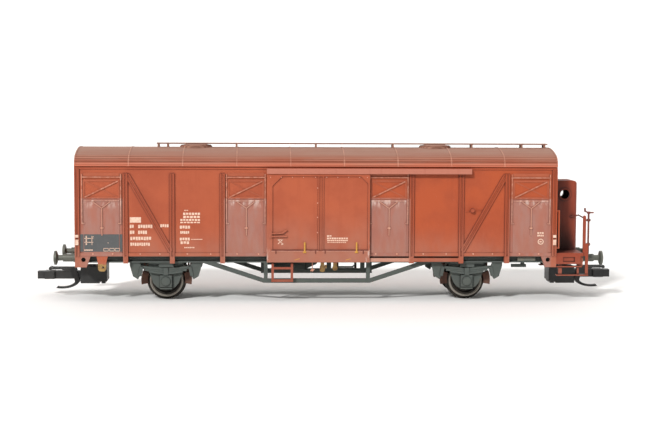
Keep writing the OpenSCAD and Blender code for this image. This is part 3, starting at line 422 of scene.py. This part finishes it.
def make_materials():
    """All finishes, by the names of the record's slots and of the added pieces."""
    return {
        "body_paint": satin_paint("satin_paint_body", "body", "warm", (9.0, 18.0, 0.5), 0.8),
        "door_paint": door_paint("satin_paint_door"),
        "hatch_paint": hatch_paint("washed_paint_hatch"),
        "roof_paint": roof_paint("dusty_paint_roof"),
        "platform_paint": satin_paint("satin_paint_platform", "platform", "platform", (5.0, 11.0, 0.35),
                                      # painted shadow of the body on the booth, reaching 7 mm out of the
                                      # corners
                                      shadow_reach=7.0),
        # steel wire, brush-painted: a dark red-brown line with paler spots
        "wire_paint": plain("painted_wire", linear("#6b3328"), linear("#8a5240"), 0.5),
        # yellow enamel on a small moulding, with the brown showing through in spots
        "handle_paint": plain("yellow_enamel", linear("#c9953a"), linear("#a9713c"), 0.5, grain=0.5),
        # moulded grey-green plastic, unpainted: dull, with dry-brushed dust below and painted shade in the
        # corners
        "underframe_plastic": plain(
            "moulded_plastic_underframe", linear("#494f4b"), linear("#545a54"), 0.6, grain=2.0,
            dust=(linear("#56564f"), 2.0, 6.5, 0.3), corner_shade=linear("#151716")),
        # moulded plastic, touched with rust colour: matt brown
        "brake_shoe_plastic": plain("moulded_plastic_brake_shoe", linear("#553a30"), linear("#76523f"), 0.7),
        "etched_brass": etched_brass("etched_brass"),
        # turned metal, blackened and worn: a soft grey gleam
        "buffer_metal": plain("turned_metal_buffer", linear("#64655d"), linear("#4b4c46"), 0.45,
                              metallic=0.45),
        # black moulded plastic: smooth and a little glossy, with painted shade in the corners
        "coupler_plastic": plain("moulded_black_plastic", linear("#2b2b2a"), linear("#3c3b39"), 0.38,
                                 amount=0.4, corner_shade=linear("#0c0c0c")),
        "wheel_metal": turned_steel("turned_steel_wheel"),
        # chemically blackened steel: dark with a weak gleam
        "axle_steel": plain("blackened_steel_axle", linear("#2c2b2a"), linear("#3a3836"), 0.45, metallic=0.5),
        # rolled steel plate inside the body: plain grey metal
        "ballast_steel": plain("rolled_steel_plate", linear("#8d8d8a"), linear("#6f6f6c"), 0.4, metallic=0.9),
        # pale enamel with a little of the body colour over it
        "pale_paint": plain("pale_enamel", linear("#e3c3ae"), linear("#c08a72"), 0.5),
        # thin printed ink: cream white and slightly broken
        "cream_ink": plain("printed_cream_ink", shade("ink"), linear("#c98f78"), 0.55,
                           grain=0.4, amount=0.55),
        # pale tint with red in clouds: a painted highlight on small raised pieces
        "dry_brushed": plain("dry_brushed_stud", linear("#d09a82"), linear("#b9684c"), 0.55, grain=0.5),
        # printed grey ink in a wide field: flat, with a soft sheen
        "grey_ink": plain("printed_grey_field", shade("panel"), linear("#4b4d4e"), 0.5,
                          grain=2.5, amount=0.6),
        # printed ochre ink: short dashes with the red showing through
        "yellow_ink": plain("printed_ochre_ink", linear("#c08a44"), linear("#b0653f"), 0.55, grain=0.4),
        # cast plate on the solebar: grey, lightly dusted
        "plate_paint": plain("dusted_plate", linear("#6d7067"), linear("#8a7f6e"), 0.6, grain=0.5),
    }


MATERIALS = {}


# ---- pieces -------------------------------------------------------------------------------

def pick_edges(piece, test):
    """Selects, in edit mode, only the edges that pass a test."""
    bpy.ops.mesh.select_mode(type="EDGE")
    bpy.ops.mesh.select_all(action="DESELECT")
    mesh = bmesh.from_edit_mesh(piece.data)
    for edge in mesh.edges:
        if test(edge):
            edge.select_set(True)
    bmesh.update_edit_mesh(piece.data)


def new_piece(name, body, finish_name):
    """An empty mesh object in edit mode, that rides on a body and has its finish."""
    bpy.ops.mesh.primitive_cube_add(size=1 * MM, location=(0, 0, 0))
    piece = bpy.context.object
    piece.name = name
    bpy.ops.object.mode_set(mode="EDIT")
    bpy.ops.mesh.select_all(action="SELECT")
    bpy.ops.mesh.delete(type="VERT")
    piece.data.materials.append(MATERIALS[finish_name])
    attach(piece, body)
    return piece


def close_piece(far_body, smooth=False):
    """Leaves edit mode with outward normals, and copies the piece to the far side, onto its body there.

    Round pieces are smoothed by angle. The copy has a mesh of its own, turned by half a turn.
    """
    bpy.ops.mesh.select_all(action="SELECT")
    bpy.ops.mesh.normals_make_consistent(inside=False)
    bpy.ops.object.mode_set(mode="OBJECT")
    if smooth:
        bpy.ops.object.shade_smooth_by_angle(angle=math.radians(35))
    near = bpy.context.object
    bpy.ops.object.select_all(action="DESELECT")
    near.select_set(True)
    bpy.ops.object.duplicate()
    far = bpy.context.object
    far.name = near.name.replace("near", "far")
    far.data.transform(HALF_TURN)
    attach(far, far_body)


def spot(x, y, z):
    """A place on the near side: X from the body's middle and Z in millimetres, Y a half width in metres."""
    return Vector((BODY_X + x * MM, -y, z * MM))


def bar(face, x0, x1, z0, z1, thick, tilt=0.0):
    """A thin flat bar on a face of the open piece, tilted about its middle and sunk in by 0.01 mm."""
    place = spot((x0 + x1) / 2, face + (thick / 2 - 0.005) * MM, (z0 + z1) / 2)
    bpy.ops.mesh.select_all(action="DESELECT")
    bpy.ops.mesh.primitive_cube_add(size=1, location=place, rotation=(0, -tilt, 0),
                                    scale=((x1 - x0) * MM, (thick + 0.01) * MM, (z1 - z0) * MM))


def rows(face, table, thick):
    """Rows of bars, with narrow gaps between the bars of a row and every third bar a little lower."""
    for x0, x1, z0, z1, count in table:
        pitch = (x1 - x0) / count
        gap = 0.22 * pitch if count > 1 else 0.0
        for i in range(count):
            lower = 0.12 * (z1 - z0) if i % 3 == 1 else 0.0
            bar(face, x0 + i * pitch, x0 + (i + 1) * pitch - gap, z0 + lower, z1, thick)


def bosses(face, places, across, high):
    """Small domed bosses on a face of the open piece, at places given as X and Z.

    One short stud is turned with a bevelled rim, and copied from each place to the next.
    """
    spots = [spot(x, face + (high / 2 - 0.01) * MM, z) for x, z in places]
    bpy.ops.mesh.select_all(action="DESELECT")
    bpy.ops.mesh.primitive_cylinder_add(vertices=20, radius=across / 2 * MM, depth=(high + 0.02) * MM,
                                        location=spots[0], rotation=(math.pi / 2, 0, 0))
    bpy.ops.mesh.bevel(offset=high * 0.4 * MM, segments=3, affect="EDGES")
    bpy.ops.mesh.select_linked()
    for before, after in zip(spots, spots[1:]):
        bpy.ops.mesh.duplicate_move(TRANSFORM_OT_translate={"value": after - before})


def ring(face, x, z, across, width, thick):
    """A flat ring on a face of the open piece: a disc is inset, opened and given a thickness."""
    place = spot(x, face + thick * MM, z)
    bpy.ops.mesh.select_all(action="DESELECT")
    bpy.ops.mesh.primitive_circle_add(vertices=32, radius=across / 2 * MM, fill_type="NGON", location=place,
                                      rotation=(math.pi / 2, 0, 0))
    bpy.ops.mesh.inset(thickness=width * MM)
    bpy.ops.mesh.delete(type="FACE")
    reach = (across / 2 + 0.01) * MM
    pick_edges(bpy.context.object, lambda edge: all((vert.co - place).length < reach for vert in edge.verts))
    bpy.ops.mesh.extrude_region_move(TRANSFORM_OT_translate={"value": (0, (thick + 0.01) * MM, 0)})


# Rows of a block of short bars: left and right end, foot and head, and how many bars fill the row.
SIDE_ROWS = (
    (-41.03, -38.61, 17.5, 18.7, 1), (-41.04, -40.11, 16.3, 17.05, 2), (-39.23, -36.03, 16.3, 17.05, 6),
    (-41.04, -39.96, 15.0, 15.75, 2), (-39.24, -37.22, 15.0, 15.75, 4), (-40.96, -36.29, 13.65, 14.4, 8),
    (-40.97, -36.61, 12.4, 13.1, 9), (-34.41, -32.5, 16.5, 17.15, 4),
    (-29.16, -28.22, 20.1, 20.3, 2), (-29.41, -25.6, 19.2, 19.7, 6), (-29.41, -25.6, 18.5, 19.0, 5),
    (-30.04, -25.6, 17.9, 18.3, 7), (-30.04, -25.6, 17.4, 17.7, 6), (-30.14, -27.8, 16.2, 16.85, 4),
    (-30.05, -28.02, 15.05, 15.65, 5), (-30.15, -27.87, 13.6, 14.2, 4), (-30.0, -28.0, 12.8, 13.4, 3),
    (-27.7, -25.2, 13.78, 13.9, 1), (-29.19, -26.9, 11.9, 12.15, 6),
)
DOOR_ROWS = (
    (2.1, 3.2, 14.5, 14.8, 2), (2.1, 6.8, 13.95, 14.3, 9), (2.15, 6.75, 13.5, 13.8, 11),
    (2.2, 6.4, 13.15, 13.3, 10),
)
HATCH_ROWS = ((48.75, 50.25, 15.1, 15.45, 3), (48.75, 50.25, 14.5, 14.9, 4))
NUMBER_ROWS = ((-50.95, -49.1, 11.35, 11.62, 6),)
SILL_BOSSES_X = (12.9, 17.6, 23.4, 28.5, 34.5, 38.8, 44.8, 49.1)    # on both sides of the body's middle
DOOR_STRIPS_X = ((-10.1, 0.3), (0.95, 11.1))                        # left and right half of a door


class WagonStage(bpy.types.PropertyGroup):
    """Camera, floor and light."""
    lens: bpy.props.FloatProperty(
        name="Focal length", description="Focal length on a sensor 36 mm wide", unit="CAMERA",
        default=82.35, min=20)
    floor_colour: bpy.props.FloatVectorProperty(
        name="Floor", description="Colour of floor and backdrop",
        subtype="COLOR", default=linear("#f6f5f3")[:3])
    key: bpy.props.FloatProperty(
        name="Key light", description="Strength of the key light from the front left", default=2.7, min=0)
    overhead: bpy.props.FloatProperty(
        name="Overhead light", description="Strength of the wide light from above", default=0.9, min=0)
    ambient: bpy.props.FloatProperty(
        name="Room light", description="Strength of the even light all round", default=0.26, min=0)


class WagonPaint(bpy.types.PropertyGroup):
    """Colours of the finishes."""
    body: bpy.props.FloatVectorProperty(
        name="Body", description="Brown-red of the sides",
        subtype="COLOR", default=linear("#aa5130")[:3])
    warm: bpy.props.FloatVectorProperty(
        name="Warm body", description="Brown-red towards the platform",
        subtype="COLOR", default=linear("#ab4b24")[:3])
    door: bpy.props.FloatVectorProperty(
        name="Doors", description="Brown-red of the doors",
        subtype="COLOR", default=linear("#ad5433")[:3])
    hatch: bpy.props.FloatVectorProperty(
        name="Hatches", description="Brown-red under the wash",
        subtype="COLOR", default=linear("#a75436")[:3])
    platform: bpy.props.FloatVectorProperty(
        name="Platform", description="Brown-red of the platform",
        subtype="COLOR", default=linear("#8a3922")[:3])
    deep: bpy.props.FloatVectorProperty(
        name="Deep shade", description="Darker shade in clouds and streaks",
        subtype="COLOR", default=linear("#913e23")[:3])
    dust: bpy.props.FloatVectorProperty(
        name="Dust", description="Pale dust on sides and doors",
        subtype="COLOR", default=linear("#a06f5d")[:3])
    wash: bpy.props.FloatVectorProperty(
        name="Wash", description="Violet-grey wash in the hatch bays",
        subtype="COLOR", default=linear("#9c7267")[:3])
    # dark colour of a painted shadow in sheltered corners
    painted_shadow: bpy.props.FloatVectorProperty(
        name="Soot", description="Grime in sheltered corners",
        subtype="COLOR", default=linear("#2c110c")[:3])
    # colour of a painted highlight on raised bars, levers and roof lines
    painted_highlight: bpy.props.FloatVectorProperty(
        name="Rubbed", description="Dry-brushed bars and levers",
        subtype="COLOR", default=linear("#d09a82")[:3])
    settled: bpy.props.FloatVectorProperty(
        name="Settled dust", description="Dust on the rail covers",
        subtype="COLOR", default=linear("#b5715d")[:3])
    worn: bpy.props.FloatVectorProperty(
        name="Wear", description="Whitish wear on edges",
        subtype="COLOR", default=linear("#d6bdb2")[:3])
    roof: bpy.props.FloatVectorProperty(
        name="Roof", description="Brown-red of the roof",
        subtype="COLOR", default=linear("#944e37")[:3])
    # painted highlight on the roof along the eaves
    lip: bpy.props.FloatVectorProperty(
        name="Roof lip", description="Roof along the eaves",
        subtype="COLOR", default=linear("#d07356")[:3])
    # grey of the paler crown and of the faint streaks on the roof
    roof_dust: bpy.props.FloatVectorProperty(
        name="Roof dust", description="Grey dust on the crown",
        subtype="COLOR", default=linear("#9b7665")[:3])
    line: bpy.props.FloatVectorProperty(
        name="Roof lines", description="Fine lines along the roof",
        subtype="COLOR", default=linear("#5f3a2c")[:3])
    rim: bpy.props.FloatVectorProperty(
        name="Wheel rims", description="Bright steel of the rims",
        subtype="COLOR", default=linear("#a09a90")[:3])
    # dark of the wheel discs, and painted shade on the flanges
    disc: bpy.props.FloatVectorProperty(
        name="Wheel discs", description="Browned discs of the wheels",
        subtype="COLOR", default=linear("#3d3934")[:3])
    ink: bpy.props.FloatVectorProperty(
        name="Print", description="Cream printing",
        subtype="COLOR", default=linear("#e2c4ae")[:3])
    # colour of painted shade in corners and along ribs, from ambient occlusion
    corner_shade: bpy.props.FloatVectorProperty(
        name="Lining", description="Dark wash along ribs and corners",
        subtype="COLOR", default=linear("#5a2415")[:3])
    brass: bpy.props.FloatVectorProperty(
        name="Brass", description="Bare brass of the towing brackets",
        subtype="COLOR", default=linear("#b08e58")[:3])
    panel: bpy.props.FloatVectorProperty(
        name="Grey field", description="Grey number fields",
        subtype="COLOR", default=linear("#545555")[:3])


class WagonPieces(bpy.types.PropertyGroup):
    """Sizes of the printed marks and small fittings."""
    print_thick: bpy.props.FloatProperty(
        name="Print thickness", description="Thickness of the printed marks", subtype="DISTANCE", precision=5,
        default=0.02 * MM, min=0.005 * MM, max=0.05 * MM)
    boss_across: bpy.props.FloatProperty(
        name="Boss width", description="Diameter of the bosses on the sills", subtype="DISTANCE", precision=5,
        default=0.36 * MM, min=0.1 * MM, max=0.6 * MM)
    boss_high: bpy.props.FloatProperty(
        name="Boss height", description="Height of the bosses on the sills", subtype="DISTANCE", precision=5,
        default=0.12 * MM, min=0.05 * MM, max=0.2 * MM)


class WAGON_OT_stage(bpy.types.Operator):
    """Camera, plain pale floor that curves up behind, and soft studio light."""
    bl_idname = "wagon.stage"
    bl_label = "Stage"

    def execute(self, context):
        settings = context.scene.wagon_stage
        eye = Vector((BODY_X - 12.396 * MM, -336.44 * MM, 45.174 * MM))
        # turned to the right, tilted down and rolled, in radians
        yaw, pitch, roll = 0.04321, 0.08217, 0.00436
        ahead = Vector((math.sin(yaw) * math.cos(pitch), math.cos(yaw) * math.cos(pitch), -math.sin(pitch)))
        side = Vector((math.cos(yaw), -math.sin(yaw), 0.0))
        above = side.cross(ahead)
        right = math.cos(roll) * side + math.sin(roll) * above
        up = -math.sin(roll) * side + math.cos(roll) * above
        camera = bpy.data.cameras.new("camera")
        camera.lens = settings.lens
        camera.sensor_width = 36.0
        camera.clip_start = 0.01
        holder = bpy.data.objects.new("camera", camera)
        holder.matrix_world = Matrix.Translation(eye) @ Matrix((right, up, -ahead)).transposed().to_4x4()
        context.scene.collection.objects.link(holder)
        context.scene.camera = holder
        context.scene.view_settings.view_transform = "Standard"

        # floor whose back edge is drawn up into a wall, with a wide curve between them
        bpy.ops.mesh.primitive_plane_add(size=8.0, location=(0, -2.9, 0))
        floor = context.object
        floor.name = "floor"
        bpy.ops.object.mode_set(mode="EDIT")
        pick_edges(floor, lambda edge: all(vert.co.y > 1.0 for vert in edge.verts))
        bpy.ops.mesh.extrude_region_move(TRANSFORM_OT_translate={"value": (0, 0, 2.0)})
        pick_edges(floor, lambda edge: all(vert.co.y > 1.0 and vert.co.z < 0.1 for vert in edge.verts))
        bpy.ops.mesh.bevel(offset=0.6, segments=24, affect="EDGES")
        bpy.ops.object.mode_set(mode="OBJECT")
        bpy.ops.object.shade_smooth()
        # white card: matt, with no visible grain
        card = tuple(settings.floor_colour) + (1.0,)
        floor.data.materials.append(plain("matt_card_floor", card, card, 0.85, level=0.1))

        world = bpy.data.worlds.new("studio")
        world.use_nodes = True
        world.node_tree.nodes["Background"].inputs[0].default_value = linear("#ffffff")
        world.node_tree.nodes["Background"].inputs[1].default_value = settings.ambient
        context.scene.world = world
        # each light's degrees round from the front, degrees up, degrees across, and strength
        for name, turn, height, soft, strength in (("key", -30, 33, 7, settings.key),
                                                   ("overhead", 20, 78, 70, settings.overhead)):
            lamp = bpy.data.lights.new(name, "SUN")
            lamp.energy = strength
            lamp.angle = math.radians(soft)
            holder = bpy.data.objects.new(name, lamp)
            flat = math.cos(math.radians(height))
            towards = Vector((math.sin(math.radians(turn)) * flat, -math.cos(math.radians(turn)) * flat,
                              math.sin(math.radians(height))))
            holder.rotation_euler = (-towards).to_track_quat("-Z", "Y").to_euler()
            context.scene.collection.objects.link(holder)
        return {"FINISHED"}


class WAGON_OT_finishes(bpy.types.Operator):
    """Gives every CAD node its finish."""
    bl_idname = "wagon.finishes"
    bl_label = "Finishes"

    def execute(self, context):
        MATERIALS.update(make_materials())
        for part in frame["record"]["subparts"]:
            target = NODES[part["node"]]
            target.data.materials.clear()
            target.data.materials.append(MATERIALS[part["material_slot"]])
        return {"FINISHED"}


class WAGON_OT_number_fields(bpy.types.Operator):
    """Grey fields low in the left hatch bay of each side, with plain bars in place of numbers."""
    bl_idname = "wagon.number_fields"
    bl_label = "Number fields"

    def execute(self, context):
        thick = context.scene.wagon_pieces.print_thick / MM
        foot, head = 11.1, 14.95
        new_piece("number_field_near", "wagon", "grey_ink")
        bar(HATCH_FACE, -51.0, -43.4, foot, head, thick)
        bar(WALL_Y, -51.83, -51.12, foot, head, thick)
        bar(WALL_Y, -43.28, -42.69, foot, head, thick)
        close_piece("wagon")

        over = HATCH_FACE + thick * MM
        new_piece("number_marks_near", "wagon", "cream_ink")
        for z in (14.05, 13.2):
            bar(over, -50.95, -49.0, z - 0.06, z + 0.06, thick)
        for x in (-50.6, -50.45, -49.3):
            bar(over, x - 0.06, x + 0.06, 12.6, 14.6, thick)
        bar(over, -49.55, -48.9, 14.2, 14.32, thick, 0.6)
        rows(over, NUMBER_ROWS, thick)
        # three small frames side by side
        for x in (-46.8, -45.5, -44.3):
            for z in (11.28, 11.86):
                bar(over, x, x + 1.05, z - 0.05, z + 0.05, thick)
            for edge in (x, x + 1.0):
                bar(over, edge, edge + 0.09, 11.28, 11.86, thick)
        bar(over, -45.9, -45.7, 13.0, 13.15, thick)
        close_piece("wagon")
        return {"FINISHED"}


class WAGON_OT_printed_marks(bpy.types.Operator):
    """Plain cream bars in place of lettering on the sides, the doors and the right hatch bay."""
    bl_idname = "wagon.printed_marks"
    bl_label = "Printed marks"

    def execute(self, context):
        thick = context.scene.wagon_pieces.print_thick / MM
        new_piece("side_marks_near", "wagon", "cream_ink")
        rows(WALL_Y, SIDE_ROWS, thick)
        rows(HATCH_FACE, HATCH_ROWS, thick)
        ring(HATCH_FACE, 49.5, 13.35, 1.3, 0.18, thick)
        bar(HATCH_FACE, 49.25, 49.75, 13.2, 13.45, thick)
        close_piece("wagon")

        new_piece("door_marks_near", "sliding_door_near", "cream_ink")
        rows(SHEET_Y, DOOR_ROWS, thick)
        for tilt in (0.75, -0.75):
            bar(SHEET_Y, -8.85, -7.45, 13.3, 13.46, thick, tilt)
        bar(SHEET_Y, -7.95, -7.45, 12.75, 12.9, thick, 0.5)
        bar(SHEET_Y, -8.6, -7.5, 13.78, 13.88, thick)
        close_piece("sliding_door_far")

        new_piece("door_dashes_near", "sliding_door_near", "yellow_ink")
        for x in (-4.45, 6.8):
            bar(DOOR_FACE, x - 0.6, x + 0.6, 9.42, 9.6, thick, 0.28)
        close_piece("sliding_door_far")
        return {"FINISHED"}


class WAGON_OT_bosses(bpy.types.Operator):
    """Small bosses along the sills, beside the middle channel of the doors and on the hatch levers.

    Those on the inner levers are flat, as the doors slide over them.
    """
    bl_idname = "wagon.bosses"
    bl_label = "Bosses"

    def execute(self, context):
        sizes = context.scene.wagon_pieces
        # the bosses are pale as a painted highlight
        new_piece("sill_bosses_near", "wagon", "dry_brushed")
        bosses(SILL_FACE, [(side * x, 10.62) for x in SILL_BOSSES_X for side in (1, -1)],
               sizes.boss_across / MM, sizes.boss_high / MM)
        close_piece("wagon", True)

        # the bosses are pale as a painted highlight
        new_piece("lever_bosses_near", "wagon", "dry_brushed")
        inner, outer = (x / MM for x in HATCH_X)
        for x, high in ((outer, 0.14), (inner, 0.03)):
            bosses(LEVER_FACE, [(side * x + 0.1, 16.35) for side in (1, -1)], 0.42, high)
        close_piece("wagon", True)

        # the bosses are pale as a painted highlight
        new_piece("door_bosses_near", "sliding_door_near", "dry_brushed")
        bosses(SHEET_Y, [(0.0, z) for z in (15.4, 18.75, 21.9, 25.2)], 0.26, 0.1)
        close_piece("sliding_door_far", True)
        return {"FINISHED"}


class WAGON_OT_door_strips(bpy.types.Operator):
    """Strips over the lower band of each door, dark as painted shade, with clips, ledges pale as a painted
    highlight, and rivets at the head.
    """
    bl_idname = "wagon.door_strips"
    bl_label = "Door strips"

    def execute(self, context):
        # strips and clips take the dark wire paint as painted shade
        new_piece("door_strips_near", "sliding_door_near", "wire_paint")
        for x0, x1 in DOOR_STRIPS_X:
            bar(SHEET_Y, x0, x1, 11.4, 11.68, 0.3)
        for x in (-9.1, -0.4, 1.7, 10.1):
            bar(SHEET_Y, x - 0.12, x + 0.12, 10.75, 11.41, 0.28)
        close_piece("sliding_door_far")

        # the ledges are pale as a painted highlight
        new_piece("door_ledges_near", "sliding_door_near", "dry_brushed")
        for x0, x1 in DOOR_STRIPS_X:
            bar(SHEET_Y, x0, x1, 11.29, 11.4, 0.26)
        close_piece("sliding_door_far")

        # the rivets are pale as a painted highlight
        new_piece("door_rivets_near", "sliding_door_near", "dry_brushed")
        places = [(x, 27.55) for x in (-10.3, -7.9, -5.5, -3.1, -0.5, 2.0, 4.4, 6.8, 9.2, 10.9)]
        bosses(DOOR_FACE - 0.01 * MM, places, 0.2, 0.07)
        close_piece("sliding_door_far", True)
        return {"FINISHED"}


class WAGON_OT_brake_handles(bpy.types.Operator):
    """The round brake changeover handle that hangs on a stem under the middle of each solebar."""
    bl_idname = "wagon.brake_handles"
    bl_label = "Brake handles"

    def execute(self, context):
        new_piece("brake_handle_near", "wagon", "dry_brushed")
        back = SOLEBAR_Y - 0.45 * MM
        bar(back, -1.12, -0.94, 7.0, SOLEBAR_FOOT / MM + 0.05, 0.18)
        bosses(back, [(-1.03, 6.9)], 0.62, 0.24)
        bar(SOLEBAR_Y - 0.4 * MM, -1.5, -0.5, 6.8, 6.98, 0.2, 0.35)
        close_piece("wagon", True)
        return {"FINISHED"}


class WAGON_OT_solebar_plates(bpy.types.Operator):
    """A small cast plate between the flanges of each solebar, under the right hatch bay."""
    bl_idname = "wagon.solebar_plates"
    bl_label = "Solebar plates"

    def execute(self, context):
        new_piece("solebar_plate_near", "wagon", "plate_paint")
        bar(SOLEBAR_Y - 0.5 * MM, 44.6, 48.6, 8.98, 9.72, 0.42)
        bpy.ops.mesh.select_all(action="SELECT")
        bpy.ops.mesh.bevel(offset=0.06 * MM, segments=2, affect="EDGES")
        close_piece("wagon")
        return {"FINISHED"}


class WAGON_PT_panel(bpy.types.Panel):
    """Steps and settings of the wagon in the sidebar."""
    bl_label = "Wagon"
    bl_idname = "WAGON_PT_panel"
    bl_space_type = "VIEW_3D"
    bl_region_type = "UI"
    bl_category = "Wagon"

    def draw(self, context):
        for step in STEPS:
            self.layout.operator(step)
        for name in GROUPS:
            settings = getattr(context.scene, name)
            box = self.layout.box()
            for key in settings.bl_rna.properties.keys():
                if key not in ("rna_type", "name"):
                    box.prop(settings, key)


STEPS = ("wagon.stage", "wagon.finishes", "wagon.number_fields", "wagon.printed_marks", "wagon.bosses",
         "wagon.door_strips", "wagon.brake_handles", "wagon.solebar_plates")
GROUPS = {"wagon_stage": WagonStage, "wagon_paint": WagonPaint, "wagon_pieces": WagonPieces}
CLASSES = (WagonStage, WagonPaint, WagonPieces, WAGON_OT_stage, WAGON_OT_finishes, WAGON_OT_number_fields,
           WAGON_OT_printed_marks, WAGON_OT_bosses, WAGON_OT_door_strips, WAGON_OT_brake_handles,
           WAGON_OT_solebar_plates, WAGON_PT_panel)


def register():
    for cls in CLASSES:
        bpy.utils.register_class(cls)
    for name, group in GROUPS.items():
        setattr(bpy.types.Scene, name, bpy.props.PointerProperty(type=group))


def unregister():
    for name in GROUPS:
        delattr(bpy.types.Scene, name)
    for cls in reversed(CLASSES):
        bpy.utils.unregister_class(cls)


def main():
    register()
    bpy.ops.wagon.stage()
    bpy.ops.wagon.finishes()
    bpy.ops.wagon.number_fields()
    bpy.ops.wagon.printed_marks()
    bpy.ops.wagon.bosses()
    bpy.ops.wagon.door_strips()
    bpy.ops.wagon.brake_handles()
    bpy.ops.wagon.solebar_plates()


if __name__ == "__main__":
    main()
